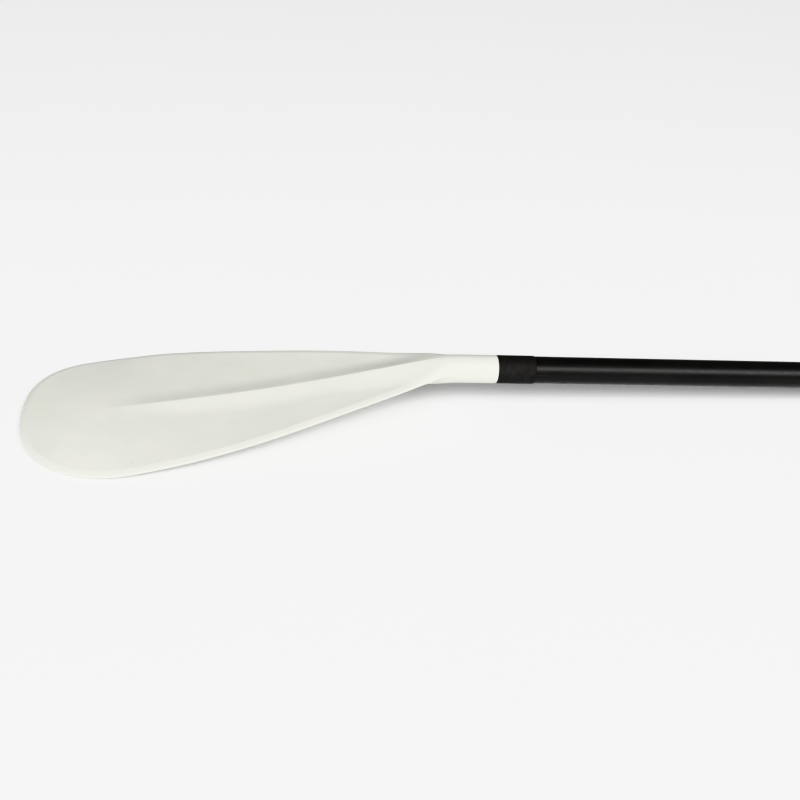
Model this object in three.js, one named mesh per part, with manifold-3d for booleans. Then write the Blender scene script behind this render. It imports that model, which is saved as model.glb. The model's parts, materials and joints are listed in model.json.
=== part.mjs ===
// Stand-up paddle: a moulded blade on a telescoping two-tube shaft, with a cam-lever clamp and a T-grip.
// Millimetres, +Z up. The paddle lies face up, on the back of its blade and on its grip, grip towards +X.
//
// The shaft frame runs along the shaft: x = 0 at the end of the blade's shoulder, +x towards the grip,
// y across the blade and z away from its face. Everything is built in it, and the paddle is tilted last.
import * as THREE from "three";
import { mergeVertices } from "three/addons/utils/BufferGeometryUtils.js";
import Module from "manifold-3d";

const wasm = await Module();
wasm.setup();

// ---- Driving dimensions ------------------------------------------------------------------------------

const SIDES = 48; // facets of a round tube
const GAP = 0.3; // between pieces that touch

// Blade. Stations are measured along its centre line from the shoulder's end, towards the tip.
const SHOULDER_R = 15;
const NECK_START = 38; // where the round shoulder starts to spread
const NECK_END = 72; // where the section is all blade
const BEND_START = 30;
const BEND_END = 84;
const BEND_ANGLE = THREE.MathUtils.degToRad(10);
const WIDEST_AT = 392;
const BLADE_END = 495.5;
const WIDEST_HALF = 98.3;
const NECK_HALF = 20.2; // half width at the bend
const FLARE = 0.274; // slope of the blade's sides beyond the neck
const NECK_FLARE = 0.45; // and where they leave the shoulder
const SIDE_PULL = [58, 112]; // how far the side curve follows its slope at the bend, and at the widest place
const TIP_PULL = [0.55, 0.77]; // the same for the curve round the tip, as shares of its length and width
const EDGE_R = 2.3; // rounded rim
const PLATE = 3.4; // thickness of the blade between its rim and its rib
const RIB_HALF = 17; // half width of the rib on the back
const ROUND_RIB = [50, 150]; // over this stretch the rib turns from half a round into a wave
const CREST_STARTS = [43, 118]; // over this stretch the round neck turns into a crest
const CROWN_STARTS = [330, 425]; // and over this one the crest turns into a low crown

// Height of the face's rim, height of the ridge above it, and thickness at the centre line.
const RIM_HEIGHT = [
  [38, 3.2],
  [57, 4.9],
  [157, 2.3],
  [257, -2.8],
  [347, -5.1],
  [417, -5.3],
  [495.5, 8.3],
];
const RIDGE_HEIGHT = [
  [38, 11.6],
  [57, 10],
  [117, 6.3],
  [177, 4],
  [257, 4.2],
  [347, 6.1],
  [417, 7.6],
  [495.5, 0],
];
const THICKNESS = [
  [38, 30],
  [72, 28],
  [130, 18],
  [210, 12],
  [310, 8],
  [410, 5],
  [495.5, 4.6],
];

// The crest is a cusp on two sloping flanks: the cusp's share of the height, and its half width.
const CUSP_SHARE = [
  [43, 1],
  [177, 1],
  [257, 0.92],
  [300, 0.62],
  [347, 0.38],
];
const CUSP_HALF = [
  [60, 30],
  [100, 28],
  [177, 25],
  [257, 25],
  [347, 22],
];
// Depth of the hollow between the crest and the rim.
const DISH = [
  [43, 0],
  [117, 0.7],
  [200, 0.4],
  [300, 0],
];

// Tenon of the blade, in the lower tube
const TENON_R = 12.9;
const TENON_LENGTH = 70;
const TENON_BORE_R = 9;

// Tubes
const LOWER_R = 14.5;
const LOWER_BORE_R = 13.2;
const LOWER_END = 898;
const SLEEVE_R = 15.1;
const SLEEVE_LENGTH = 41;
const HANDLE_R = 12.9;
const HANDLE_BORE_R = 11.5;
const HANDLE_START = 790;
const HANDLE_END = 1420;
const GROOVE_WIDTH = 4;
const GROOVE_DEPTH = 0.8;
const FOAM_START = 300;
const FOAM_LENGTH = 90;
const END_PLUG_LIP = 4;
const END_PLUG_DEPTH = 22;

// Clamp
const COLLAR_START = 861;
const COLLAR_END = 903;
const COLLAR_R = 18.5;
const COLLAR_LIP_R = HANDLE_R + 0.4;
const SPLIT = 3;
const CLAMP_X = (COLLAR_START + COLLAR_END) / 2;
const SCREW_Y = -25.5;
const EAR_TIP_Y = -33;
const EAR_LENGTH = 32;
const EAR_TOP = 7.5;
const SCREW_R = 2.5;
const SCREW_HOLE_R = 2.9;
const PAD_THICKNESS = 1.2;
const CAM_R = 6.5;
const CAM_OFFSET = 0.8; // from the pivot to the cam's centre
const PIVOT_Z = EAR_TOP + PAD_THICKNESS + 2 * GAP + CAM_R + CAM_OFFSET;
const PIN_R = 3.5;
const PIN_BORE_R = 3.8;
const LEVER_WIDTH = 26;
const LEVER_IN_R = 19.4;
const LEVER_OUT_R = 23.4;
const LEVER_SLOT = 7;
const RIVET_R = 1.6;
const RIVET_HOLE_R = 1.9;

// T-grip
const GRIP_BAR_X = 1464;
const GRIP_HALF = 53;
const GRIP_DEPTH = 15; // half thickness of the bar along the shaft
const GRIP_HEIGHT = 12.5; // half thickness of the bar across the shaft
const GRIP_SWEEP = 7; // how far the bar's ends lie behind its middle
const GRIP_FLAT = 0.7; // depth of the flat on the palm side
const GRIP_TENON = 45;
const GRIP_RIVET_X = 1398;

// ---- Materials ---------------------------------------------------------------------------------------

const finish = (color, roughness, metalness) => new THREE.MeshStandardMaterial({ color, roughness, metalness });
const nylon = finish(0xe6e6dc, 0.4, 0);
const gloss = finish(0x0c0c0e, 0.25, 0.3);
const matte = finish(0x1d1c1b, 0.7, 0);
const moulded = finish(0x17171a, 0.5, 0);
const steel = finish(0xb4b6b8, 0.3, 1);
const foam = finish(0x3c3c40, 0.95, 0);
const acetal = finish(0xdcdcd2, 0.4, 0);

// ---- Solids ------------------------------------------------------------------------------------------

// A closed geometry as a solid that can be joined and cut.
function solid(geometry) {
  const bare = geometry.index ? geometry.toNonIndexed() : geometry.clone();
  bare.deleteAttribute("normal");
  bare.deleteAttribute("uv");
  const merged = mergeVertices(bare, 1e-4);
  const vertProperties = merged.attributes.position.array;
  const triVerts = new Uint32Array(merged.index.array);
  return new wasm.Manifold(new wasm.Mesh({ numProp: 3, vertProperties, triVerts }));
}

function geometryOf(cut) {
  const mesh = cut.getMesh();
  const geometry = new THREE.BufferGeometry();
  geometry.setAttribute("position", new THREE.BufferAttribute(new Float32Array(mesh.vertProperties), 3));
  geometry.setIndex([...mesh.triVerts]);
  geometry.computeVertexNormals();
  return geometry;
}

// Reverses the triangles of a closed geometry whose faces point inwards.
function facingOut(geometry) {
  const places = geometry.attributes.position;
  const index = geometry.index;
  const [a, b, c] = [new THREE.Vector3(), new THREE.Vector3(), new THREE.Vector3()];
  let volume = 0;
  for (let i = 0; i < index.count; i += 3) {
    a.fromBufferAttribute(places, index.getX(i));
    b.fromBufferAttribute(places, index.getX(i + 1));
    c.fromBufferAttribute(places, index.getX(i + 2));
    volume += a.dot(b.cross(c));
  }
  if (volume < 0) geometry.setIndex([...index.array].reverse());
  return geometry;
}

// Turns a closed profile of [distance along x, radius] points about the x axis.
function turned(profile, sides = SIDES) {
  const points = profile.map(([x, r]) => new THREE.Vector2(r, x));
  return facingOut(new THREE.LatheGeometry(points, sides).rotateZ(-Math.PI / 2));
}

function tube(start, end, outer, inner, chamfer = 0.4) {
  return turned([
    [start, inner],
    [start, outer - chamfer],
    [start + chamfer, outer],
    [end - chamfer, outer],
    [end, outer - chamfer],
    [end, inner],
    [start, inner],
  ]);
}

function box(x0, x1, y0, y1, z0, z1) {
  const made = new THREE.BoxGeometry(x1 - x0, y1 - y0, z1 - z0);
  return made.translate((x0 + x1) / 2, (y0 + y1) / 2, (z0 + z1) / 2);
}

// An outline in the y-z plane, pushed along x from x0 to x1.
function sectionAlongX(shape, x0, x1, curveSegments = 12) {
  const made = new THREE.ExtrudeGeometry(shape, { depth: x1 - x0, bevelEnabled: false, curveSegments });
  const toShaft = new THREE.Matrix4().makeBasis(
    new THREE.Vector3(0, 1, 0),
    new THREE.Vector3(0, 0, 1),
    new THREE.Vector3(1, 0, 0),
  );
  return made.applyMatrix4(toShaft).translate(x0, 0, 0);
}

// A round bar along x, y or z.
function bar(axis, radius, from, to, at = [0, 0], sides = 24) {
  const made = new THREE.CylinderGeometry(radius, radius, to - from, sides);
  const middle = (from + to) / 2;
  if (axis === "x") return made.rotateZ(Math.PI / 2).translate(middle, at[0], at[1]);
  if (axis === "y") return made.translate(at[0], middle, at[1]);
  return made.rotateX(Math.PI / 2).translate(at[0], at[1], middle);
}

// A solid through rings of points, all with the same number of points, closed at both ends.
function loft(rings) {
  const sides = rings[0].length;
  const rows = rings.length - 1;
  const made = new THREE.CylinderGeometry(1, 1, 1, sides, rows);
  const places = made.attributes.position;
  for (let i = 0; i < places.count; i++) {
    const ring = rings[Math.round((0.5 - places.getY(i)) * rows)];
    const isCentre = Math.hypot(places.getX(i), places.getZ(i)) < 0.5;
    const turn = Math.atan2(places.getX(i), places.getZ(i)) / (2 * Math.PI);
    const corner = (Math.round(turn * sides) + sides) % sides;
    const point = isCentre ? middleOf(ring) : ring[corner];
    places.setXYZ(i, point.x, point.y, point.z);
  }
  return facingOut(made);
}

function middleOf(ring) {
  const sum = new THREE.Vector3();
  for (const point of ring) sum.add(point);
  return sum.divideScalar(ring.length);
}

// A smooth curve through [x, value] points, as a function of x.
function curveThrough(points) {
  const slope = points.map((p, i) => {
    const before = points[Math.max(i - 1, 0)];
    const after = points[Math.min(i + 1, points.length - 1)];
    return (after[1] - before[1]) / (after[0] - before[0]);
  });
  return (x) => {
    const at = THREE.MathUtils.clamp(x, points[0][0], points[points.length - 1][0]);
    let i = 0;
    while (i < points.length - 2 && at > points[i + 1][0]) i++;
    const span = points[i + 1][0] - points[i][0];
    const t = (at - points[i][0]) / span;
    const a = points[i][1] * (1 + 2 * t) * (1 - t) ** 2 + points[i + 1][1] * t * t * (3 - 2 * t);
    return a + span * (slope[i] * t * (1 - t) ** 2 - slope[i + 1] * t * t * (1 - t));
  };
}

const smooth = (x, from, to) => THREE.MathUtils.smoothstep(x, from, to);

// ---- Blade -------------------------------------------------------------------------------------------

const TOP_STEPS = 16;
const RIM_STEPS = 4;
const RING_POINTS = 2 * (TOP_STEPS + RIM_STEPS);

const rimHeight = curveThrough(RIM_HEIGHT);
const ridgeHeight = curveThrough(RIDGE_HEIGHT);
const thickness = curveThrough(THICKNESS);
const cuspShare = curveThrough(CUSP_SHARE);
const cuspHalf = curveThrough(CUSP_HALF);
const dish = curveThrough(DISH);
const bendMiddle = (BEND_START + BEND_END) / 2;

// The blade's half width along its length: one curve out to the widest place, one round the tip.
const side = new THREE.CubicBezierCurve(
  new THREE.Vector2(bendMiddle, NECK_HALF),
  new THREE.Vector2(bendMiddle + SIDE_PULL[0], NECK_HALF + SIDE_PULL[0] * FLARE),
  new THREE.Vector2(WIDEST_AT - SIDE_PULL[1], WIDEST_HALF),
  new THREE.Vector2(WIDEST_AT, WIDEST_HALF),
);
const tip = new THREE.CubicBezierCurve(
  new THREE.Vector2(WIDEST_AT, WIDEST_HALF),
  new THREE.Vector2(WIDEST_AT + TIP_PULL[0] * (BLADE_END - WIDEST_AT), WIDEST_HALF),
  new THREE.Vector2(BLADE_END, TIP_PULL[1] * WIDEST_HALF),
  new THREE.Vector2(BLADE_END, 0),
);

// A point and direction on the centre line, which turns through the bend on an arc.
function centreLine(d) {
  const turnRadius = (BEND_END - BEND_START) / BEND_ANGLE;
  const angle = BEND_ANGLE * THREE.MathUtils.clamp((d - BEND_START) / (BEND_END - BEND_START), 0, 1);
  const straight = Math.min(d, BEND_START);
  const beyond = Math.max(d - BEND_END, 0);
  const x = -straight - turnRadius * Math.sin(angle) - beyond * Math.cos(angle);
  const z = -turnRadius * (1 - Math.cos(angle)) - beyond * Math.sin(angle);
  return { x, z, angle };
}

// A section's [across, height] point on the centre line at d, in the shaft frame.
function place(d, [across, height]) {
  const { x, z, angle } = centreLine(d);
  return new THREE.Vector3(x - height * Math.sin(angle), across, z + height * Math.cos(angle));
}

// A crest's fall from 1 to 0: straight for a third of its width, then hollowing out until it is level.
function cusp(u) {
  return u < 1 / 3 ? 1 - 1.5 * u : 1.125 * Math.max(1 - u, 0) ** 2;
}

// The ridge across the blade: half a round at the neck, then a cusp on sloping flanks, then a low crown.
function ridgeShape(t, across, half, d) {
  const round = Math.sqrt(Math.max(1 - t * t, 0));
  const sharp = cusp(across / Math.min(cuspHalf(d), half));
  const crest = cuspShare(d) * sharp + (1 - cuspShare(d)) * (1 - t);
  const crown = 1 - t * t;
  const body = THREE.MathUtils.lerp(round, crest, smooth(d, ...CREST_STARTS));
  return THREE.MathUtils.lerp(body, crown, smooth(d, ...CROWN_STARTS));
}

function bladeRing(d, half) {
  const rim = rimHeight(d);
  const inner = half - EDGE_R;
  const face = (signed) => {
    const t = Math.abs(signed);
    const hollow = dish(d) * 6.75 * t * t * (1 - t);
    return rim + ridgeHeight(d) * ridgeShape(t, t * inner, half, d) - hollow;
  };
  const deep = (signed) => {
    const across = Math.abs(signed) * inner;
    const part = Math.min(across / RIB_HALF, 1);
    const wave = 0.5 + 0.5 * Math.cos(Math.PI * part);
    const rib = THREE.MathUtils.lerp(Math.sqrt(1 - part * part), wave, smooth(d, ...ROUND_RIB));
    const plate = THREE.MathUtils.lerp(2 * EDGE_R, PLATE, smooth(half - across, 5, 26));
    return plate + Math.max(thickness(d) - plate, 0) * rib;
  };
  const points = [];
  for (let i = 0; i < TOP_STEPS; i++) {
    const t = -1 + (2 * i) / TOP_STEPS;
    points.push([t * inner, face(t)]);
  }
  for (let i = 0; i < RIM_STEPS; i++) {
    const turn = (Math.PI * i) / RIM_STEPS;
    points.push([inner + EDGE_R * Math.sin(turn), rim - EDGE_R + EDGE_R * Math.cos(turn)]);
  }
  for (let i = 0; i < TOP_STEPS; i++) {
    const t = 1 - (2 * i) / TOP_STEPS;
    points.push([t * inner, face(t) - deep(t)]);
  }
  for (let i = 0; i < RIM_STEPS; i++) {
    const turn = (Math.PI * i) / RIM_STEPS;
    points.push([-inner - EDGE_R * Math.sin(turn), rim - EDGE_R - EDGE_R * Math.cos(turn)]);
  }
  return points;
}

// A round section whose points sit where the blade's section has them: face, rim, back, rim.
function roundRing(radius) {
  const rimTop = Math.asin(rimHeight(NECK_START) / SHOULDER_R);
  const rimBottom = Math.asin((rimHeight(NECK_START) - 2 * EDGE_R) / SHOULDER_R);
  const points = [];
  const add = (from, to, steps) => {
    for (let i = 0; i < steps; i++) {
      const turn = from + ((to - from) * i) / steps;
      points.push([-radius * Math.cos(turn), radius * Math.sin(turn)]);
    }
  };
  add(rimTop, Math.PI - rimTop, TOP_STEPS);
  add(Math.PI - rimTop, Math.PI - rimBottom, RIM_STEPS);
  add(Math.PI - rimBottom, 2 * Math.PI + rimBottom, TOP_STEPS);
  add(rimBottom, rimTop, RIM_STEPS);
  return points;
}

function bladeGeometry() {
  const rings = [];
  const addRound = (d, radius) => rings.push(roundRing(radius).map((p) => place(d, p)));
  addRound(0, TENON_BORE_R);
  addRound(-TENON_LENGTH, TENON_BORE_R);
  addRound(-TENON_LENGTH, TENON_R - 1);
  addRound(-TENON_LENGTH + 2, TENON_R);
  addRound(0, TENON_R);
  addRound(0, SHOULDER_R - 0.5);
  addRound(0.5, SHOULDER_R);
  addRound(BEND_START, SHOULDER_R);
  const addBlade = (d, half) => {
    const all = smooth(d, NECK_START, NECK_END);
    const round = roundRing(SHOULDER_R);
    const flat = bladeRing(d, half);
    const mix = round.map((p, i) => [
      THREE.MathUtils.lerp(p[0], flat[i][0], all),
      THREE.MathUtils.lerp(p[1], flat[i][1], all),
    ]);
    rings.push(mix.map((p) => place(d, p)));
  };
  for (let d = NECK_START; d < bendMiddle; d += 5) addBlade(d, NECK_HALF - (bendMiddle - d) * NECK_FLARE);
  const sideSteps = 18;
  for (let i = 0; i <= sideSteps; i++) {
    const at = side.getPoint(i / sideSteps);
    addBlade(at.x, at.y);
  }
  const tipSteps = 9;
  const lastStep = 0.98;
  for (let i = 1; i < tipSteps; i++) {
    const at = tip.getPoint(i / tipSteps);
    addBlade(at.x, at.y);
  }
  addBlade(tip.getPoint(lastStep).x, tip.getPoint(lastStep).y);
  return loft(rings);
}

// ---- Shaft -------------------------------------------------------------------------------------------

// The lower tube, with a slot under the collar's split so that the clamp can squeeze it, and a rivet hole.
function lowerTubeGeometry() {
  const whole = solid(tube(GAP, LOWER_END, LOWER_R, LOWER_BORE_R));
  const slot = solid(box(LOWER_END - 34, LOWER_END + 1, -LOWER_R - 1, -5, -SPLIT / 2, SPLIT / 2));
  const hole = solid(bar("y", RIVET_HOLE_R, 5, LOWER_R + 1, [COLLAR_START + 8, 0]));
  return geometryOf(whole.subtract(slot).subtract(hole));
}

// The handle tube has a groove along its top. The clamp's key runs in it, so the grip stays in line.
function handleTubeGeometry() {
  const outline = new THREE.Shape();
  const half = Math.asin(GROOVE_WIDTH / 2 / HANDLE_R);
  outline.absarc(0, 0, HANDLE_R, Math.PI / 2 + half, Math.PI / 2 - half + 2 * Math.PI, false);
  outline.lineTo(GROOVE_WIDTH / 2 - 0.6, HANDLE_R - GROOVE_DEPTH);
  outline.lineTo(-GROOVE_WIDTH / 2 + 0.6, HANDLE_R - GROOVE_DEPTH);
  outline.closePath();
  const bore = new THREE.Path();
  bore.absarc(0, 0, HANDLE_BORE_R, 0, 2 * Math.PI, true);
  outline.holes.push(bore);
  const whole = solid(sectionAlongX(outline, HANDLE_START, HANDLE_END, SIDES / 2));
  const hole = solid(bar("y", RIVET_HOLE_R, -HANDLE_R - 1, -5, [GRIP_RIVET_X, 0]));
  return geometryOf(whole.subtract(hole));
}

function endPlugGeometry() {
  const face = HANDLE_START - GAP;
  return turned([
    [face - END_PLUG_LIP, 0],
    [face + END_PLUG_DEPTH, 0],
    [face + END_PLUG_DEPTH, HANDLE_BORE_R - 1.2],
    [face + END_PLUG_DEPTH - 3, HANDLE_BORE_R - GAP],
    [face, HANDLE_BORE_R - GAP],
    [face, HANDLE_R],
    [face - END_PLUG_LIP + 1, HANDLE_R],
    [face - END_PLUG_LIP, HANDLE_R - 1],
    [face - END_PLUG_LIP, 0],
  ], 32);
}

// ---- Clamp -------------------------------------------------------------------------------------------

function collarGeometry() {
  const step = LOWER_END + GAP;
  const boreR = LOWER_R + GAP;
  const ring = solid(turned([
    [COLLAR_START, boreR],
    [step, boreR],
    [step, COLLAR_LIP_R],
    [COLLAR_END, COLLAR_LIP_R],
    [COLLAR_END, COLLAR_R - 1.5],
    [COLLAR_END - 1.5, COLLAR_R],
    [COLLAR_START + 1.5, COLLAR_R],
    [COLLAR_START, COLLAR_R - 1.5],
    [COLLAR_START, boreR],
  ]));
  const ear = new THREE.Shape();
  const corner = 3;
  ear.moveTo(-16, -EAR_TOP);
  ear.lineTo(-16, EAR_TOP);
  ear.lineTo(EAR_TIP_Y + corner, EAR_TOP);
  ear.absarc(EAR_TIP_Y + corner, EAR_TOP - corner, corner, Math.PI / 2, Math.PI, false);
  ear.absarc(EAR_TIP_Y + corner, -EAR_TOP + corner, corner, Math.PI, 1.5 * Math.PI, false);
  ear.closePath();
  const ears = solid(sectionAlongX(ear, CLAMP_X - EAR_LENGTH / 2, CLAMP_X + EAR_LENGTH / 2, 6));
  const split = solid(box(COLLAR_START - 1, COLLAR_END + 1, EAR_TIP_Y - 1, -10, -SPLIT / 2, SPLIT / 2));
  const screwHole = solid(bar("z", SCREW_HOLE_R, -EAR_TOP - 1, EAR_TOP + 1, [CLAMP_X, SCREW_Y]));
  const rivetHole = solid(bar("y", RIVET_HOLE_R, 10, COLLAR_R + 1, [COLLAR_START + 8, 0]));
  const key = solid(box(step, COLLAR_END, -GROOVE_WIDTH / 2 + 1, GROOVE_WIDTH / 2 - 1,
    HANDLE_R - GROOVE_DEPTH + GAP, COLLAR_LIP_R + 0.5));
  return geometryOf(ring.add(ears).subtract(split).subtract(screwHole).subtract(rivetHole).add(key));
}

function leverGeometry() {
  const camZ = PIVOT_Z - CAM_OFFSET;
  const deg = THREE.MathUtils.degToRad;
  const end = deg(28);
  const outline = new THREE.Shape();
  outline.absarc(SCREW_Y, camZ, CAM_R, deg(75), deg(330), false);
  outline.absarc(0, 0, LEVER_IN_R, deg(137), end, true);
  outline.lineTo((LEVER_IN_R + 2.2) * Math.cos(end - 0.16), (LEVER_IN_R + 2.2) * Math.sin(end - 0.16));
  outline.lineTo((LEVER_OUT_R + 2.6) * Math.cos(end - 0.1), (LEVER_OUT_R + 2.6) * Math.sin(end - 0.1));
  outline.absarc(0, 0, LEVER_OUT_R, end + 0.16, deg(118), false);
  outline.closePath();
  const half = LEVER_WIDTH / 2;
  const whole = solid(sectionAlongX(outline, CLAMP_X - half, CLAMP_X + half, 14));
  const slot = solid(box(CLAMP_X - LEVER_SLOT / 2, CLAMP_X + LEVER_SLOT / 2, -40, -17.6, 0, 40));
  const bore = solid(bar("x", PIN_BORE_R, CLAMP_X - half - 1, CLAMP_X + half + 1, [SCREW_Y, PIVOT_Z]));
  return geometryOf(whole.subtract(slot).subtract(bore));
}

function pinGeometry() {
  const half = LEVER_WIDTH / 2 - 1;
  const pin = solid(bar("x", PIN_R, CLAMP_X - half, CLAMP_X + half, [SCREW_Y, PIVOT_Z]));
  const hole = solid(bar("z", SCREW_R + 0.2, PIVOT_Z - PIN_R - 1, PIVOT_Z + PIN_R + 1, [CLAMP_X, SCREW_Y]));
  return geometryOf(pin.subtract(hole));
}

function padGeometry() {
  const bottom = EAR_TOP + GAP;
  const pad = solid(box(CLAMP_X - 12, CLAMP_X + 12, EAR_TIP_Y + 1.5, -19.5, bottom, bottom + PAD_THICKNESS));
  const hole = solid(bar("z", SCREW_HOLE_R, bottom - 1, bottom + PAD_THICKNESS + 1, [CLAMP_X, SCREW_Y]));
  return geometryOf(pad.subtract(hole));
}

// Turned pieces that stand along z at the clamp screw.
function onScrewAxis(profile, sides) {
  return turned(profile, sides).rotateY(-Math.PI / 2).translate(CLAMP_X, SCREW_Y, 0);
}

function screwGeometry() {
  const seat = -EAR_TOP - GAP - PAD_THICKNESS - GAP;
  const body = solid(onScrewAxis([
    [seat - 4.6, 0],
    [PIVOT_Z + 2.5, 0],
    [PIVOT_Z + 2.5, SCREW_R - 0.4],
    [PIVOT_Z + 2.1, SCREW_R],
    [seat, SCREW_R],
    [seat, 4.3],
    [seat - 4, 4.3],
    [seat - 4.6, 3.7],
    [seat - 4.6, 0],
  ], 24));
  const socket = solid(new THREE.CylinderGeometry(2.3, 2.3, 5, 6)
    .rotateX(Math.PI / 2).translate(CLAMP_X, SCREW_Y, seat - 4.6));
  return geometryOf(body.subtract(socket));
}

function washerGeometry() {
  const top = -EAR_TOP - GAP;
  return onScrewAxis([
    [top - PAD_THICKNESS, SCREW_HOLE_R],
    [top, SCREW_HOLE_R],
    [top, 5.2],
    [top - PAD_THICKNESS, 5.2],
    [top - PAD_THICKNESS, SCREW_HOLE_R],
  ], 24);
}

// A blind rivet along y, its head outside a wall at headRadius, its shank reaching in to tipRadius.
function rivetGeometry(x, headRadius, tipRadius, towards) {
  const profile = [
    [tipRadius, 0],
    [headRadius + 1.3, 0],
    [headRadius + 1.1, 1.6],
    [headRadius + GAP, 3.2],
    [headRadius + GAP, RIVET_R],
    [tipRadius, RIVET_R],
    [tipRadius, 0],
  ];
  return turned(profile, 20).rotateZ((towards * Math.PI) / 2).translate(x, 0, 0);
}

// ---- Grip --------------------------------------------------------------------------------------------

function gripGeometry() {
  const seat = HANDLE_END + GAP;
  const stemSides = 32;
  const stem = solid(turned([
    [seat - GRIP_TENON, 0],
    [seat - GRIP_TENON, HANDLE_BORE_R - 1.3],
    [seat - GRIP_TENON + 2, HANDLE_BORE_R - GAP],
    [seat, HANDLE_BORE_R - GAP],
    [seat, HANDLE_R + 1],
    [seat + 1.5, HANDLE_R + 1.8],
    [seat + 9, HANDLE_R + 1.8],
    [seat + 18, HANDLE_R - 0.4],
    [seat + 28, HANDLE_R - 1.2],
    [GRIP_BAR_X, HANDLE_R - 1.5],
    [GRIP_BAR_X, 0],
    [seat - GRIP_TENON, 0],
  ], stemSides));
  const rings = [];
  const steps = 18;
  const sides = 24;
  for (let i = 0; i <= steps; i++) {
    const turn = (-0.5 + i / steps) * Math.PI * 0.985;
    const y = GRIP_HALF * Math.sin(turn);
    const out = Math.abs(y) / GRIP_HALF;
    const round = Math.sqrt(Math.max(1 - out ** 6, 0.02));
    const depth = GRIP_DEPTH * (1 - 0.22 * out ** 2) * round;
    const height = GRIP_HEIGHT * round;
    const centre = GRIP_BAR_X - GRIP_SWEEP * out ** 2;
    const ring = [];
    for (let j = 0; j < sides; j++) {
      const angle = (2 * Math.PI * j) / sides;
      ring.push(new THREE.Vector3(centre + depth * Math.cos(angle), y, height * Math.sin(angle)));
    }
    rings.push(ring);
  }
  const crossbar = solid(loft(rings));
  const palm = GRIP_BAR_X + GRIP_DEPTH - GRIP_FLAT;
  const beyond = solid(box(palm, palm + 10, -60, 60, -30, 30));
  const rivetHole = solid(bar("y", RIVET_HOLE_R, -HANDLE_R, -HANDLE_BORE_R + 8, [GRIP_RIVET_X, 0]));
  return geometryOf(stem.add(crossbar).subtract(beyond).subtract(rivetHole));
}

// ---- Assembly ----------------------------------------------------------------------------------------

const paddle = new THREE.Group();

function add(name, geometry, material) {
  const mesh = new THREE.Mesh(geometry, material);
  mesh.name = name;
  paddle.add(mesh);
  return mesh;
}

const blade = add("blade", bladeGeometry(), nylon);
add("neck_sleeve", tube(GAP, SLEEVE_LENGTH, SLEEVE_R, LOWER_R + 0.15, 0.2), matte);
add("lower_shaft_tube", lowerTubeGeometry(), gloss);
add("float_plug", bar("x", LOWER_BORE_R - GAP, FOAM_START, FOAM_START + FOAM_LENGTH, [0, 0], SIDES), foam);
add("handle_tube", handleTubeGeometry(), gloss);
add("handle_end_plug", endPlugGeometry(), moulded);
add("clamp_collar", collarGeometry(), moulded);
add("clamp_lever", leverGeometry(), moulded);
add("lever_pivot_pin", pinGeometry(), steel);
add("cam_pad", padGeometry(), acetal);
add("clamp_screw", screwGeometry(), steel);
add("screw_washer", washerGeometry(), steel);
add("collar_rivet", rivetGeometry(COLLAR_START + 8, COLLAR_R, LOWER_BORE_R + 0.1, 1), steel);
const grip = add("t_grip", gripGeometry(), moulded);
add("grip_rivet", rivetGeometry(GRIP_RIVET_X, HANDLE_R, HANDLE_BORE_R - 7, -1), steel);

// Lay the paddle down: tilt the shaft until the blade's back and the grip are level.
function lowest(mesh) {
  const places = mesh.geometry.attributes.position;
  const turn = new THREE.Matrix4().makeRotationY(paddle.rotation.y);
  const best = new THREE.Vector3(0, 0, Infinity);
  for (let i = 0; i < places.count; i++) {
    const point = new THREE.Vector3().fromBufferAttribute(places, i).applyMatrix4(turn);
    if (point.z < best.z) best.copy(point);
  }
  return best;
}
for (let pass = 0; pass < 6; pass++) {
  const back = lowest(blade);
  const end = lowest(grip);
  paddle.rotation.y += Math.atan2(end.z - back.z, end.x - back.x);
}
paddle.updateMatrixWorld(true);
const bounds = new THREE.Box3().setFromObject(paddle, true);
paddle.position.set(-(bounds.min.x + bounds.max.x) / 2, 0, -bounds.min.z);

export default paddle;
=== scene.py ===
"""A stand-up paddle: a white moulded blade on a black telescoping shaft, with a clamp and a T-grip.

Pieces are built in the shaft frame, in millimetres: x = 0 is the end of the blade's shoulder, +x
points to the grip, y across the blade, and z out of its face. The shaft frame's place in the row
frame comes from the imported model.
"""

import json
import math
import bmesh
import bpy
from mathutils import Matrix, Vector


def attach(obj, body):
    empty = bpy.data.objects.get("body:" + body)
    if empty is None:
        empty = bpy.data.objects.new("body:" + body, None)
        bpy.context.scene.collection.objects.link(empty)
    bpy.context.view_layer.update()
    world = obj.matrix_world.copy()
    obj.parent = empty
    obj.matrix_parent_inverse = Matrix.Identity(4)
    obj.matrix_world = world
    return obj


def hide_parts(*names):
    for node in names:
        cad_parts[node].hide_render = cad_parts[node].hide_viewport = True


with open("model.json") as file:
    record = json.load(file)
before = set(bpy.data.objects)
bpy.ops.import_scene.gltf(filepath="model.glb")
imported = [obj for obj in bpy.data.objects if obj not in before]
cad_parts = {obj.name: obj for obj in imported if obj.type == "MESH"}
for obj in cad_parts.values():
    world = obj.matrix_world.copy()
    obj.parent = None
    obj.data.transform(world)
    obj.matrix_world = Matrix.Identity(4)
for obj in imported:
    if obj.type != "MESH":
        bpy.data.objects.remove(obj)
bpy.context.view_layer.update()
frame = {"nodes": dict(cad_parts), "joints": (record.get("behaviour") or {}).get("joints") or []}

MM = 0.001
TAU = 2 * math.pi
GAP = 0.3  # mm, the gap that the CAD keeps between pieces that touch

# ---- The shaft frame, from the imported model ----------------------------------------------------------

joints = {joint["name"]: joint for joint in frame["joints"]}
along = Vector(joints["handle_slide"]["axis"]).normalized()
across = Vector((0, 1, 0))
upward = along.cross(across)
TURN = Matrix((along, across, upward)).transposed().to_4x4()


def extent(node, to_frame):
    """Lowest and highest corner of a CAD node in the frame that to_frame leads to, in millimetres."""
    points = [to_frame @ v.co / MM for v in frame["nodes"][node].data.vertices]
    low = Vector([min(p[k] for p in points) for k in range(3)])
    high = Vector([max(p[k] for p in points) for k in range(3)])
    return low, high


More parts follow.
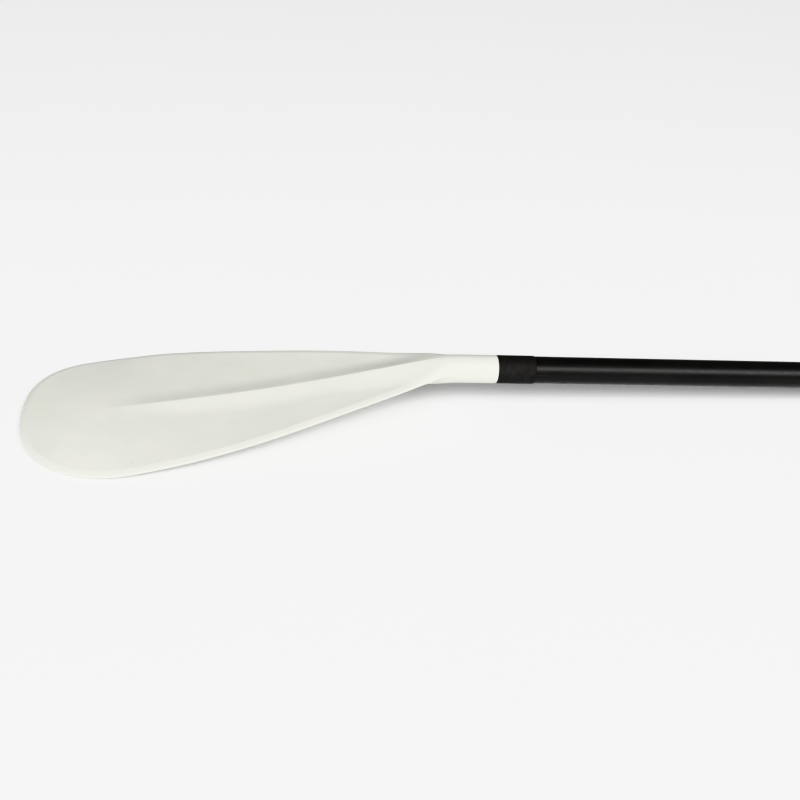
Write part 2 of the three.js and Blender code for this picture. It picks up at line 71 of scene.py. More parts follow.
sleeve_low, sleeve_high = extent("neck_sleeve", TURN.inverted())
shoulder_end = Vector((sleeve_low.x - GAP, 0, (sleeve_low.z + sleeve_high.z) / 2)) * MM
SHAFT = Matrix.Translation(TURN @ shoulder_end) @ TURN
TO_SHAFT = SHAFT.inverted()


def place_of(node):
    return extent(node, TO_SHAFT)


sleeve_low, sleeve_high = place_of("neck_sleeve")
tube_low, tube_high = place_of("lower_shaft_tube")
handle_low, handle_high = place_of("handle_tube")
collar_low, collar_high = place_of("clamp_collar")
lever_low, lever_high = place_of("clamp_lever")
pad_low, pad_high = place_of("cam_pad")
washer_low, washer_high = place_of("screw_washer")
screw_low, screw_high = place_of("clamp_screw")
pin_low, pin_high = place_of("lever_pivot_pin")
grip_low, grip_high = place_of("t_grip")
grip_rivet_low, grip_rivet_high = place_of("grip_rivet")
blade_low, blade_high = place_of("blade")
pivot = TO_SHAFT @ Vector(joints["lever_hinge"]["pos_m"]) / MM

TUBE_R = tube_high.y
TUBE_BORE_R = TUBE_R - 1.3
HANDLE_R = handle_high.y
HANDLE_BORE_R = HANDLE_R - 1.4
clamp_x = pivot.x
screw_y = pivot.y
grip_rivet_x = (grip_rivet_low.x + grip_rivet_high.x) / 2
collar_rivet_x = collar_low.x + 8

# ---- Mesh tools --------------------------------------------------------------------------------------


def new_piece(name, points, faces, sharp_angle=40):
    """An object whose own frame is the shaft frame, from points in millimetres."""
    mesh = bpy.data.meshes.new(name)
    mesh.from_pydata([Vector(p) * MM for p in points], [], faces)
    mesh.validate()
    obj = bpy.data.objects.new(name, mesh)
    bpy.context.scene.collection.objects.link(obj)
    obj.matrix_world = SHAFT
    tidy_mesh(obj, sharp_angle)
    return obj


def tidy_mesh(obj, sharp_angle):
    """Welds coinciding points, turns the faces outwards and shades smooth up to sharp_angle degrees."""
    bm = bmesh.new()
    bm.from_mesh(obj.data)
    bmesh.ops.remove_doubles(bm, verts=bm.verts, dist=1e-7)
    bmesh.ops.dissolve_degenerate(bm, edges=bm.edges, dist=1e-8)
    bmesh.ops.recalc_face_normals(bm, faces=bm.faces)
    bm.to_mesh(obj.data)
    bm.free()
    shade(obj, sharp_angle)


def shade(obj, sharp_angle):
    obj.data.polygons.foreach_set("use_smooth", [True] * len(obj.data.polygons))
    obj.data.set_sharp_from_angle(angle=math.radians(sharp_angle))
    obj.data.update()


def skin(rings, loop=False):
    """Points and faces of a surface through rings of points: a closed loop, or capped at both ends."""
    sides = len(rings[0])
    points = [p for ring in rings for p in ring]
    faces = []
    rows = len(rings) if loop else len(rings) - 1
    for row in range(rows):
        here = row * sides
        beyond = ((row + 1) % len(rings)) * sides
        for k in range(sides):
            n = (k + 1) % sides
            faces.append((here + k, here + n, beyond + n, beyond + k))
    if not loop:
        faces.append(tuple(range(sides)))
        faces.append(tuple(reversed(range(len(points) - sides, len(points)))))
    return points, faces


def circle(x, radius, sides, wobble=None):
    """A ring about the shaft. wobble(x, turn) adds to its radius."""
    ring = []
    for k in range(sides):
        turn = TAU * k / sides
        r = radius + (wobble(x, turn) if wobble else 0)
        ring.append((x, r * math.cos(turn), r * math.sin(turn)))
    return ring


def turned(name, profile, sides=96, loop=False, wobble=None, sharp_angle=40):
    """A piece turned about the shaft from [x, radius] points."""
    rings = [circle(x, r, sides, wobble) for x, r in profile]
    return new_piece(name, *skin(rings, loop), sharp_angle)


def rounded(corners, radius, steps=4):
    """A profile with each of its corners rounded. A corner's own radius may follow its coordinates."""
    result = []
    count = len(corners)
    for k, corner in enumerate(corners):
        here = Vector(corner[:2])
        to_last = Vector(corners[k - 1][:2]) - here
        to_next = Vector(corners[(k + 1) % count][:2]) - here
        r = corner[2] if len(corner) > 2 else radius
        reach = min(r, to_last.length * 0.49, to_next.length * 0.49)
        if reach < 1e-4:
            result.append(tuple(here))
            continue
        a = here + to_last.normalized() * reach
        b = here + to_next.normalized() * reach
        for i in range(steps + 1):
            t = i / steps
            result.append(tuple(a * (1 - t) ** 2 + here * 2 * t * (1 - t) + b * t * t))
    return result


def to_y(x, y0=0, z0=0, towards=1):
    """From a piece turned about x at the origin to one that stands along y."""
    return Matrix.Translation((x, y0, z0)) @ Matrix.Rotation(towards * math.pi / 2, 4, "Z")


def to_z(x, y, z0=0):
    return Matrix.Translation((x, y, z0)) @ Matrix.Rotation(-math.pi / 2, 4, "Y")


def moved(obj, matrix):
    """Moves a piece's mesh by a matrix in millimetres."""
    scaled = matrix.copy()
    scaled.translation = matrix.translation * MM
    obj.data.transform(scaled)
    return obj


def box(low, high):
    """Points and faces of a box in millimetres, for joining and cutting."""
    points = [(x, y, z) for x in (low[0], high[0]) for y in (low[1], high[1]) for z in (low[2], high[2])]
    faces = [(0, 1, 3, 2), (4, 6, 7, 5), (0, 4, 5, 1), (2, 3, 7, 6), (0, 2, 6, 4), (1, 5, 7, 3)]
    return points, faces


def prism(outline, x0, x1):
    """Points and faces of an outline of (y, z) points, pushed along x."""
    return skin([[(x, y, z) for y, z in outline] for x in (x0, x1)])


def baked(obj):
    """Applies every modifier."""
    depsgraph = bpy.context.evaluated_depsgraph_get()
    mesh = bpy.data.meshes.new_from_object(obj.evaluated_get(depsgraph))
    obj.modifiers.clear()
    obj.data = mesh
    return obj


def combine(obj, tool, operation):
    """Joins, cuts or intersects obj with another object, which is then gone."""
    bpy.context.view_layer.update()
    modifier = obj.modifiers.new(operation, "BOOLEAN")
    modifier.operation = operation
    modifier.object = tool
    modifier.solver = "EXACT"
    baked(obj)
    bpy.data.objects.remove(tool)
    return obj


def soften(obj, voxel, passes, sharp_angle=180):
    """Rounds a moulded piece's edges: an even remesh in millimetres, then smoothing."""
    remesh = obj.modifiers.new("even", "REMESH")
    remesh.mode = "VOXEL"
    remesh.voxel_size = voxel * MM
    smooth = obj.modifiers.new("round", "SMOOTH")
    smooth.factor = 0.5
    smooth.iterations = passes
    baked(obj)
    shade(obj, sharp_angle)
    return obj


def stands_for(obj, material, slot, body, *nodes):
    """Puts a piece into the row frame, with its material, its body and the CAD nodes it replaces."""
    obj.data.transform(SHAFT)
    obj.matrix_world = Matrix.Identity(4)
    obj.data.materials.clear()
    obj.data.materials.append(material)
    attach(obj, body)
    if nodes:
        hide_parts(*nodes)
    return obj


# ---- Curves ------------------------------------------------------------------------------------------


def smoothstep(x, start, end):
    t = min(max((x - start) / (end - start), 0), 1)
    return t * t * (3 - 2 * t)


def mix(a, b, t):
    return a + (b - a) * t


def curve_through(points):
    """A smooth curve through (x, value) points, as a function of x."""
    last = len(points) - 1
    slopes = []
    for i in range(len(points)):
        before, after = points[max(i - 1, 0)], points[min(i + 1, last)]
        slopes.append((after[1] - before[1]) / (after[0] - before[0]))

    def value(x):
        at = min(max(x, points[0][0]), points[last][0])
        i = 0
        while i < last - 1 and at > points[i + 1][0]:
            i += 1
        span = points[i + 1][0] - points[i][0]
        t = (at - points[i][0]) / span
        level = points[i][1] * (1 + 2 * t) * (1 - t) ** 2 + points[i + 1][1] * t * t * (3 - 2 * t)
        return level + span * (slopes[i] * t * (1 - t) ** 2 - slopes[i + 1] * t * t * (1 - t))

    return value


def bezier(a, b, c, d, t):
    u = 1 - t
    return tuple(u**3 * a[k] + 3 * u * u * t * b[k] + 3 * u * t * t * c[k] + t**3 * d[k] for k in (0, 1))


# ---- Blade -------------------------------------------------------------------------------------------

SHOULDER_R = 15
NECK = (38, 72)  # the round shoulder spreads into the blade's section
BEND = (30, 84)
BEND_MIDDLE = sum(BEND) / 2
BEND_ANGLE = math.radians(10)
WIDEST_AT = 392
BLADE_END = 495.5
WIDEST_HALF = blade_high.y
NECK_HALF = 20.2
FLARE = 0.274
NECK_FLARE = 0.45
SIDE_PULL = (58, 112)
TIP_PULL = (0.55, 0.77)
EDGE_R = 2.3  # half the rim's thickness
LIP = 6.5  # width of the bevel round the face
BEVEL_DROP = 1.5
PLATE = 3.4  # thickness of the blade between its rim and its rib
RIB_HALF = 17
ROUND_RIB = (50, 150)  # the rib on the back is half a round at the neck, then a wave
CREST_STARTS = (43, 118)
CROWN_STARTS = (330, 425)
CREST_R = 0.7  # rounding of the crest
TIP_FOCUS = 0.42  # share of the tip's length that its rows' inner ends are spread over
TENON_R = 12.9
TENON_LENGTH = 70
TENON_BORE_R = 9

# Stations along the blade's centre line, in millimetres from the shoulder's end, and a value at each.
rim_height = curve_through(
    [(38, 3.2), (57, 4.9), (157, 2.3), (257, -2.8), (347, -5.1), (417, -5.3), (495.5, 8.3)]
)
ridge_height = curve_through(
    [(38, 11.6), (57, 10), (117, 6.3), (177, 4), (257, 4.2), (347, 6.1), (417, 7.6), (495.5, 0)]
)
thickness = curve_through([(38, 30), (72, 28), (130, 18), (210, 12), (310, 8), (410, 5), (495.5, 4.6)])
cusp_share = curve_through([(43, 1), (177, 1), (257, 0.92), (300, 0.62), (347, 0.38)])
cusp_half = curve_through([(60, 30), (100, 28), (177, 25), (257, 25), (347, 22)])
dish = curve_through([(43, 0), (117, 0.7), (200, 0.4), (300, 0)])

SIDE = (
    (BEND_MIDDLE, NECK_HALF),
    (BEND_MIDDLE + SIDE_PULL[0], NECK_HALF + SIDE_PULL[0] * FLARE),
    (WIDEST_AT - SIDE_PULL[1], WIDEST_HALF),
    (WIDEST_AT, WIDEST_HALF),
)
TIP = (
    (WIDEST_AT, WIDEST_HALF),
    (WIDEST_AT + TIP_PULL[0] * (BLADE_END - WIDEST_AT), WIDEST_HALF),
    (BLADE_END, TIP_PULL[1] * WIDEST_HALF),
    (BLADE_END, 0),
)


def half_width(d):
    """The blade's half width at station d."""
    if d <= BEND_MIDDLE:
        return NECK_HALF - (BEND_MIDDLE - d) * NECK_FLARE
    part = SIDE if d < WIDEST_AT else TIP
    low, high = 0.0, 1.0
    for _ in range(30):
        middle = (low + high) / 2
        if bezier(*part, middle)[0] < d:
            low = middle
        else:
            high = middle
    return bezier(*part, low)[1]


def on_blade(d, side, height):
    """A point across and above the blade's centre line, which turns through the bend on an arc."""
    radius = (BEND[1] - BEND[0]) / BEND_ANGLE
    angle = BEND_ANGLE * min(max((d - BEND[0]) / (BEND[1] - BEND[0]), 0), 1)
    beyond = max(d - BEND[1], 0)
    x = -min(d, BEND[0]) - radius * math.sin(angle) - beyond * math.cos(angle)
    z = -radius * (1 - math.cos(angle)) - beyond * math.sin(angle)
    return (x - height * math.sin(angle), side, z + height * math.cos(angle))


def cusp(u):
    """A crest's fall from 1 to 0: straight for a third of its width, then a hollow that ends level."""
    return 1 - 1.5 * u if u < 1 / 3 else 1.125 * max(1 - u, 0) ** 2


def ridge_shape(t, side, half, d):
    """The ridge across the blade: half a round at the neck, then a cusp, then a low crown."""
    round_top = math.sqrt(max(1 - t * t, 0))
    share = cusp_share(d)
    crest = share * cusp(side / min(cusp_half(d), half)) + (1 - share) * (1 - t)
    body = mix(round_top, crest, smoothstep(d, *CREST_STARTS))
    return mix(body, 1 - t * t, smoothstep(d, *CROWN_STARTS))


def face_height(d, side, half, inset):
    """Height of the face, which falls in a bevel LIP wide to the rounded rim."""
    blunt = CREST_R * smoothstep(d, *CREST_STARTS)
    softened = math.hypot(side, blunt) - blunt
    t = min(softened / half, 1)
    height = rim_height(d) + ridge_height(d) * ridge_shape(t, softened, half, d)
    height -= dish(d) * 6.75 * t * t * (1 - t)
    bevel = BEVEL_DROP * max(1 - inset / min(LIP, half * 0.4), 0)
    beyond = max(1 - inset / EDGE_R, 0)
    return height - bevel - (EDGE_R - BEVEL_DROP) * (1 - math.sqrt(max(1 - beyond**2, 0)))


def back_height(d, side, half, inset):
    """Height of the back: a plate under the face, a rib down its middle, and the rounded rim."""
    face = face_height(d, side, half, LIP)
    part = min(side / RIB_HALF, 1)
    wave = 0.5 + 0.5 * math.cos(math.pi * part)
    rib = mix(math.sqrt(1 - part * part), wave, smoothstep(d, *ROUND_RIB))
    plate = mix(2 * EDGE_R, PLATE, smoothstep(inset, 5, 26))
    beyond = max(1 - inset / EDGE_R, 0)
    rounding = EDGE_R * (1 - math.sqrt(max(1 - beyond**2, 0)))
    return face - plate - max(thickness(d) - plate, 0) * rib + rounding


# How far in from the rim the points of a ring lie, and how far out from the centre line.
FROM_RIM = (0, 0.06, 0.25, 0.55, 1, 1.6, 2.3, 3.4, 4.8, 6, 6.7, 7.4, 9, 12, 16)
FROM_CENTRE = (0, 0.6, 1.4, 2.6, 4.4, 6.4, 8.4, 10.6, 13)
BETWEEN = 12


def shares(reach):
    """The points across half the blade as shares of reach, from the centre line (0) to the rim (1)."""
    scale = min(reach / 52, 1)
    inner = [d * scale / reach for d in FROM_CENTRE]
    outer = [1 - d * scale / reach for d in reversed(FROM_RIM)]
    middle = [mix(inner[-1], outer[0], (k + 1) / (BETWEEN + 1)) for k in range(BETWEEN)]
    return inner + middle + outer


def both_halves(right):
    """A closed ring from its right half, whose points run from the middle of the face to the back's."""
    left = [(d, -side, z) for d, side, z in right[::-1]]
    return left[:-1] + right[:-1]


def blade_ring(centre_d, rim_d, rim_side):
    """A ring round the blade: each half runs from station centre_d on the centre line to the rim."""
    reach = max(math.hypot(rim_d - centre_d, rim_side), 1e-3)
    face, back = [], []
    for share in shares(reach):
        d = mix(centre_d, rim_d, share)
        side = rim_side * share
        inset = reach * (1 - share)
        half = max(half_width(d), side, 1)
        face.append((d, side, face_height(d, side, half, inset)))
        back.append((d, side, back_height(d, side, half, inset)))
    return both_halves(face + back[-2::-1])


def round_ring(d, radius):
    """A round section, its points spread as the blade's are."""
    rim = math.asin((rim_height(NECK[0]) - EDGE_R) / SHOULDER_R)
    spread = shares(SHOULDER_R)
    turns = [mix(TAU / 4, rim, share) for share in spread]
    turns += [mix(-TAU / 4, rim, share) for share in spread[-2::-1]]
    return both_halves([(d, radius * math.cos(turn), radius * math.sin(turn)) for turn in turns])


def make_blade():
    rings = []
    for d, radius in (
        (-1, 0.01),
        (-1, TENON_BORE_R),
        (-TENON_LENGTH, TENON_BORE_R),
        (-TENON_LENGTH, TENON_R - 1),
        (-TENON_LENGTH + 1, TENON_R),
        (-0.3, TENON_R),
        (0, TENON_R + 0.3),
        (0, SHOULDER_R - 0.7),
        (0.2, SHOULDER_R - 0.25),
        (0.7, SHOULDER_R),
    ):
        rings.append([on_blade(*p) for p in round_ring(d, radius)])
    d = 3
    while d < BEND_MIDDLE:
        rings.append(neck_ring(d, d, half_width(d)))
        d += 1.5
    side_rows = 110
    for k in range(side_rows + 1):
        d, side = bezier(*SIDE, k / side_rows)
        rings.append(neck_ring(d, d, side))
    tip_rows = 56
    for k in range(1, tip_rows + 1):
        t = k / tip_rows
        d, side = bezier(*TIP, t)
        centre = WIDEST_AT + TIP_FOCUS * (d - WIDEST_AT)
        rings.append(neck_ring(centre, d, side))
    points, faces = skin(rings)
    return new_piece("moulded_blade", points, faces[:-1], 35)


def neck_ring(centre_d, rim_d, side):
    """A ring of the blade in the shaft frame, mixed with a round one along the neck."""
    blend = smoothstep(centre_d, *NECK)
    if blend == 0:
        return [on_blade(*p) for p in round_ring(centre_d, SHOULDER_R)]
    ring = blade_ring(centre_d, rim_d, side)
    if blend < 1:
        plain = round_ring(centre_d, SHOULDER_R)
        ring = [tuple(mix(a, b, blend) for a, b in zip(p, q)) for p, q in zip(plain, ring)]
    return [on_blade(*p) for p in ring]


# ---- Shaft -------------------------------------------------------------------------------------------


def ripple(size, *waves):
    """A small unevenness of a turned surface: each wave is (turns along 100 mm, turns round, phase)."""

    def offset(x, turn):
        total = sum(math.sin(TAU * a * x / 100 + b * turn + c) for a, b, c in waves)
        return size * total / len(waves)

    return offset


def make_sleeve():
    start, end = sleeve_low.x, sleeve_high.x
    outer, inner = sleeve_high.y, TUBE_R + 0.1
    rows = 40
    outside = [(mix(start + 0.6, end - 0.8, k / rows), outer) for k in range(rows + 1)]
    profile = [(start, inner), (start, outer - 0.3), (start + 0.2, outer - 0.08)]
    profile += outside
    profile += [(end - 0.25, outer - 0.12), (end, outer - 0.4), (end, inner)]
    uneven = ripple(0.035, (3.1, 2, 0.4), (5.3, -3, 1.9), (1.7, 5, 3.2), (8.2, 1, 5.1))

    def wobble(x, turn):
        near_ends = smoothstep(x, start, start + 3) * (1 - smoothstep(x, end - 2, end))
        return uneven(x, turn) * near_ends

    sleeve = turned("shrunk_sleeve", profile, 144, loop=True, wobble=wobble)
    return sleeve


def make_lower_tube():
    start, end = tube_low.x, tube_high.x
    profile = rounded(
        [(start, TUBE_BORE_R), (start, TUBE_R), (end, TUBE_R), (end, TUBE_BORE_R)], 0.35, 3
    )
    tube = turned("outer_shaft_tube", profile, 144, loop=True)
    slot = new_piece("slot", *box((end - 34, -TUBE_R - 1, -1.5), (end + 1, -5, 1.5)))
    combine(tube, slot, "DIFFERENCE")
    hole = turned("hole", [(0, 1.9), (20, 1.9)], 32)
    moved(hole, to_y(collar_rivet_x, 4))
    combine(tube, hole, "DIFFERENCE")
    shade(tube, 35)
    return tube


GROOVE_HALF = 2
GROOVE_DEPTH = 0.8


def handle_ring(x, radius, grooved):
    ring = []
    sides = 160
    for k in range(sides):
        turn = TAU * k / sides + TAU / 4
        y, z = radius * math.cos(turn), radius * math.sin(turn)
        if grooved and z > 0:
            dip = 1 - smoothstep(abs(y), GROOVE_HALF - 0.7, GROOVE_HALF)
            z -= GROOVE_DEPTH * dip
        ring.append((x, y, z))
    return ring


def make_handle_tube():
    start, end = handle_low.x, handle_high.x
    rings = [
        handle_ring(start, HANDLE_BORE_R, False),
        handle_ring(start, HANDLE_R - 0.3, True),
        handle_ring(start + 0.3, HANDLE_R, True),
        handle_ring(end - 0.3, HANDLE_R, True),
        handle_ring(end, HANDLE_R - 0.3, True),
        handle_ring(end, HANDLE_BORE_R, False),
    ]
    return new_piece("inner_handle_tube", *skin(rings, loop=True), 35)


# ---- Clamp -------------------------------------------------------------------------------------------

COLLAR_R = collar_high.y
EAR_LENGTH = 32
EAR_TOP = 7.5
SPLIT = 3
CAM_R = 6.5
LEVER_IN_R = 19.4
LEVER_OUT_R = 23.4
RIB_REACH = 8.5  # half length of the thumb ribs on the lever
SCREW_R = 2.5
THREAD_ROOT_R = 2.22
THREAD_PITCH = 0.8
SCREW_HOLE_R = 2.9
RIVET_HOLE_R = 1.9
cam_z = pivot.z - 0.8


def arc(y, z, radius, start, end, steps):
    """Points on an arc, its angles in degrees."""
    turns = [math.radians(mix(start, end, k / steps)) for k in range(steps + 1)]
    return [(y + radius * math.cos(t), z + radius * math.sin(t)) for t in turns]


def polar(radius, degrees):
    """A point at an angle round the shaft, as y and z."""
    turn = math.radians(degrees)
    return (radius * math.cos(turn), radius * math.sin(turn))


def make_collar():
    start, end = collar_low.x, collar_high.x
    bore, lip = TUBE_R + GAP, HANDLE_R + 0.4
    step = tube_high.x + GAP
    profile = rounded(
        [
            (start, bore, 0.4),
            (step, bore, 0.1),
            (step, lip, 0.1),
            (end, lip, 0.4),
            (end, COLLAR_R - 0.8, 1.2),
            (end - 3, COLLAR_R, 1.2),
            (start + 3, COLLAR_R, 1.2),
            (start, COLLAR_R - 0.8, 1.2),
        ],
        1,
    )
    collar = turned("split_collar", profile, 160, loop=True)
    tip = collar_low.y
    ear = [(-15.5, -EAR_TOP), (-15.5, EAR_TOP)]
    ear += arc(tip + 3, EAR_TOP - 3, 3, 90, 180, 8) + arc(tip + 3, 3 - EAR_TOP, 3, 180, 270, 8)
    ears = new_piece("ears", *prism(ear, clamp_x - EAR_LENGTH / 2, clamp_x + EAR_LENGTH / 2))
    combine(collar, ears, "UNION")
    for hole_r, low, high, matrix in (
        (SCREW_HOLE_R, -EAR_TOP - 2, EAR_TOP + 2, to_z(clamp_x, screw_y)),
        (RIVET_HOLE_R, 10, COLLAR_R + 3, to_y(collar_rivet_x)),
    ):
        hole = turned("hole", [(low, hole_r), (high, hole_r)], 48)
        moved(hole, matrix)
        combine(collar, hole, "DIFFERENCE")
    split = new_piece("split", *box((start - 1, tip - 1, -SPLIT / 2), (end + 1, -10, SPLIT / 2)))
    combine(collar, split, "DIFFERENCE")
    key_low = HANDLE_R - GROOVE_DEPTH + GAP
    key_half = GROOVE_HALF - 1
    key = new_piece("key", *box((step, -key_half, key_low), (end - 0.2, key_half, lip + 0.6)))
    combine(collar, key, "UNION")
    return soften(collar, 0.45, 4)


def make_lever():
    half = (lever_high.x - lever_low.x) / 2
    end = 28
    outline = arc(screw_y, cam_z, CAM_R, 75, 330, 40)
    outline += arc(0, 0, LEVER_IN_R, 137, end, 40)
    outline += [polar(LEVER_IN_R + 2.2, end - 9), polar(LEVER_OUT_R + 2.6, end - 6)]
    outline += arc(0, 0, LEVER_OUT_R, end + 9, 118, 36)
    lever = new_piece("cam_lever", *prism(outline, clamp_x - half, clamp_x + half))
    slot = new_piece("slot", *box((clamp_x - 3.5, -40, 0), (clamp_x + 3.5, -17.6, 40)))
    combine(lever, slot, "DIFFERENCE")
    bore = turned("bore", [(clamp_x - half - 1, 3.8), (clamp_x + half + 1, 3.8)], 48)
    moved(bore, Matrix.Translation((0, screw_y, pivot.z)))
    combine(lever, bore, "DIFFERENCE")
    for k in range(5):
        rib = turned("rib", [(clamp_x - RIB_REACH, 0.55), (clamp_x + RIB_REACH, 0.55)], 16)
        moved(rib, Matrix.Translation((0, *polar(LEVER_OUT_R, 34 + 5.5 * k))))
        combine(lever, rib, "UNION")
    return soften(lever, 0.3, 5)


def make_pin():
    half = (pin_high.x - pin_low.x) / 2
    radius = (pin_high.y - pin_low.y) / 2
    profile = rounded([(-half, 0, 0), (-half, radius, 0.5), (half, radius, 0.5), (half, 0, 0)], 0)
    pin = turned("barrel_nut", profile, 64)
    moved(pin, Matrix.Translation((clamp_x, screw_y, pivot.z)))
    hole = turned("hole", [(-6, 2.7), (6, 2.7)], 48)
    moved(hole, to_z(clamp_x, screw_y, pivot.z))
    combine(pin, hole, "DIFFERENCE")
    shade(pin, 35)
    return pin


def make_pad():
    low, high = pad_low, pad_high
    pad = new_piece("wear_pad", *box(low, high))
    hole = turned("hole", [(low.z - 1, SCREW_HOLE_R), (high.z + 1, SCREW_HOLE_R)], 48)
    moved(hole, to_z(clamp_x, screw_y))
    combine(pad, hole, "DIFFERENCE")
    return soften(pad, 0.2, 3)


def make_screw():
    low, high = screw_low.z, screw_high.z
    head_r = (screw_high.x - screw_low.x) / 2
    seat = washer_low.z - GAP
    profile = [(low, 0), (low, head_r - 0.6), (low + 0.18, head_r - 0.18), (low + 0.6, head_r)]
    profile += [(seat - 0.2, head_r), (seat, head_r - 0.2), (seat, SCREW_R)]
    x = seat + 1
    while x < high - THREAD_PITCH:
        profile += [(x, SCREW_R), (x + 0.25 * THREAD_PITCH, THREAD_ROOT_R)]
        profile += [(x + 0.4 * THREAD_PITCH, THREAD_ROOT_R), (x + 0.65 * THREAD_PITCH, SCREW_R)]
        x += THREAD_PITCH
    profile += [(high - 0.4, SCREW_R), (high, 2.1), (high, 0)]
    screw = turned("clamp_bolt", profile, 48)
    moved(screw, to_z(clamp_x, screw_y))
    socket = turned("socket", [(low - 1, 2.3), (low + 2.5, 2.3)], 6)
    moved(socket, to_z(clamp_x, screw_y))
    combine(screw, socket, "DIFFERENCE")
    shade(screw, 35)
    return screw


def make_washer():
    low, high = washer_low.z, washer_high.z
    radius = (washer_high.x - washer_low.x) / 2
    hole_r = SCREW_HOLE_R
    profile = rounded(
        [(low, hole_r, 0.1), (high, hole_r, 0.1), (high, radius, 0.15), (low, radius, 0.3)], 0, 3
    )
    washer = turned("bolt_washer", profile, 64, loop=True)
    return moved(washer, to_z(clamp_x, screw_y))


def make_rivet(name, x, seat, tip, towards):
    """A blind rivet: a domed head on a wall at seat, and its hollow, set shank."""
    profile = [(tip, 0), (tip, 1.6), (seat + 0.25, 1.6), (seat + 0.25, 3.0), (seat + 0.35, 3.15)]
    profile += [(seat + 0.5, 3.1), (seat + 0.85, 2.6), (seat + 1.12, 1.9), (seat + 1.2, 1.3)]
    profile += [(seat + 1.15, 1.1), (seat + 0.6, 1.0), (seat + 0.5, 0)]
    rivet = turned(name, profile, 48)
    return moved(rivet, to_y(x, 0, 0, towards))


# ---- Grip --------------------------------------------------------------------------------------------


def make_grip():
    seat = handle_high.x + GAP
    bar_x = grip_high.x + 0.7 - 15
    stem_profile = [
        (seat - 45, 0),
        (seat - 45, HANDLE_BORE_R - 1.3),
        (seat - 43, HANDLE_BORE_R - GAP),
        (seat, HANDLE_BORE_R - GAP),
        (seat, HANDLE_R + 1),
        (seat + 1.5, HANDLE_R + 1.8),
        (seat + 9, HANDLE_R + 1.8),
        (seat + 13, HANDLE_R + 0.9),
        (seat + 18, HANDLE_R - 0.4),
        (seat + 28, HANDLE_R - 1.2),
        (bar_x, HANDLE_R - 1.5),
        (bar_x, 0),
    ]
    grip = turned("palm_grip", stem_profile, 96)
    half = grip_high.y
    steps = 60
    rings = []
    for k in range(steps + 1):
        turn = (k / steps - 0.5) * math.pi * 0.985
        y = half * math.sin(turn)
        out = abs(y) / half
        blunt = math.sqrt(max(1 - out**6, 0.02))
        deep = 15 * (1 - 0.22 * out**2) * blunt
        high = 12.5 * blunt
        centre = bar_x - 7 * out**2
        ring = []
        for j in range(64):
            a = TAU * j / 64
            ring.append((centre + deep * math.cos(a), y, high * math.sin(a)))
        rings.append(ring)
    crossbar = new_piece("crossbar", *skin(rings))
    combine(grip, crossbar, "UNION")
    beyond = new_piece("beyond", *box((grip_high.x, -60, -30), (grip_high.x + 10, 60, 30)))
    combine(grip, beyond, "DIFFERENCE")
    soften(grip, 0.8, 6)
    hole = turned("hole", [(4, 1.9), (HANDLE_R, 1.9)], 32)
    moved(hole, to_y(grip_rivet_x, 0, 0, -1))
    combine(grip, hole, "DIFFERENCE")
    shade(grip, 50)
    return grip


# ---- Materials ---------------------------------------------------------------------------------------


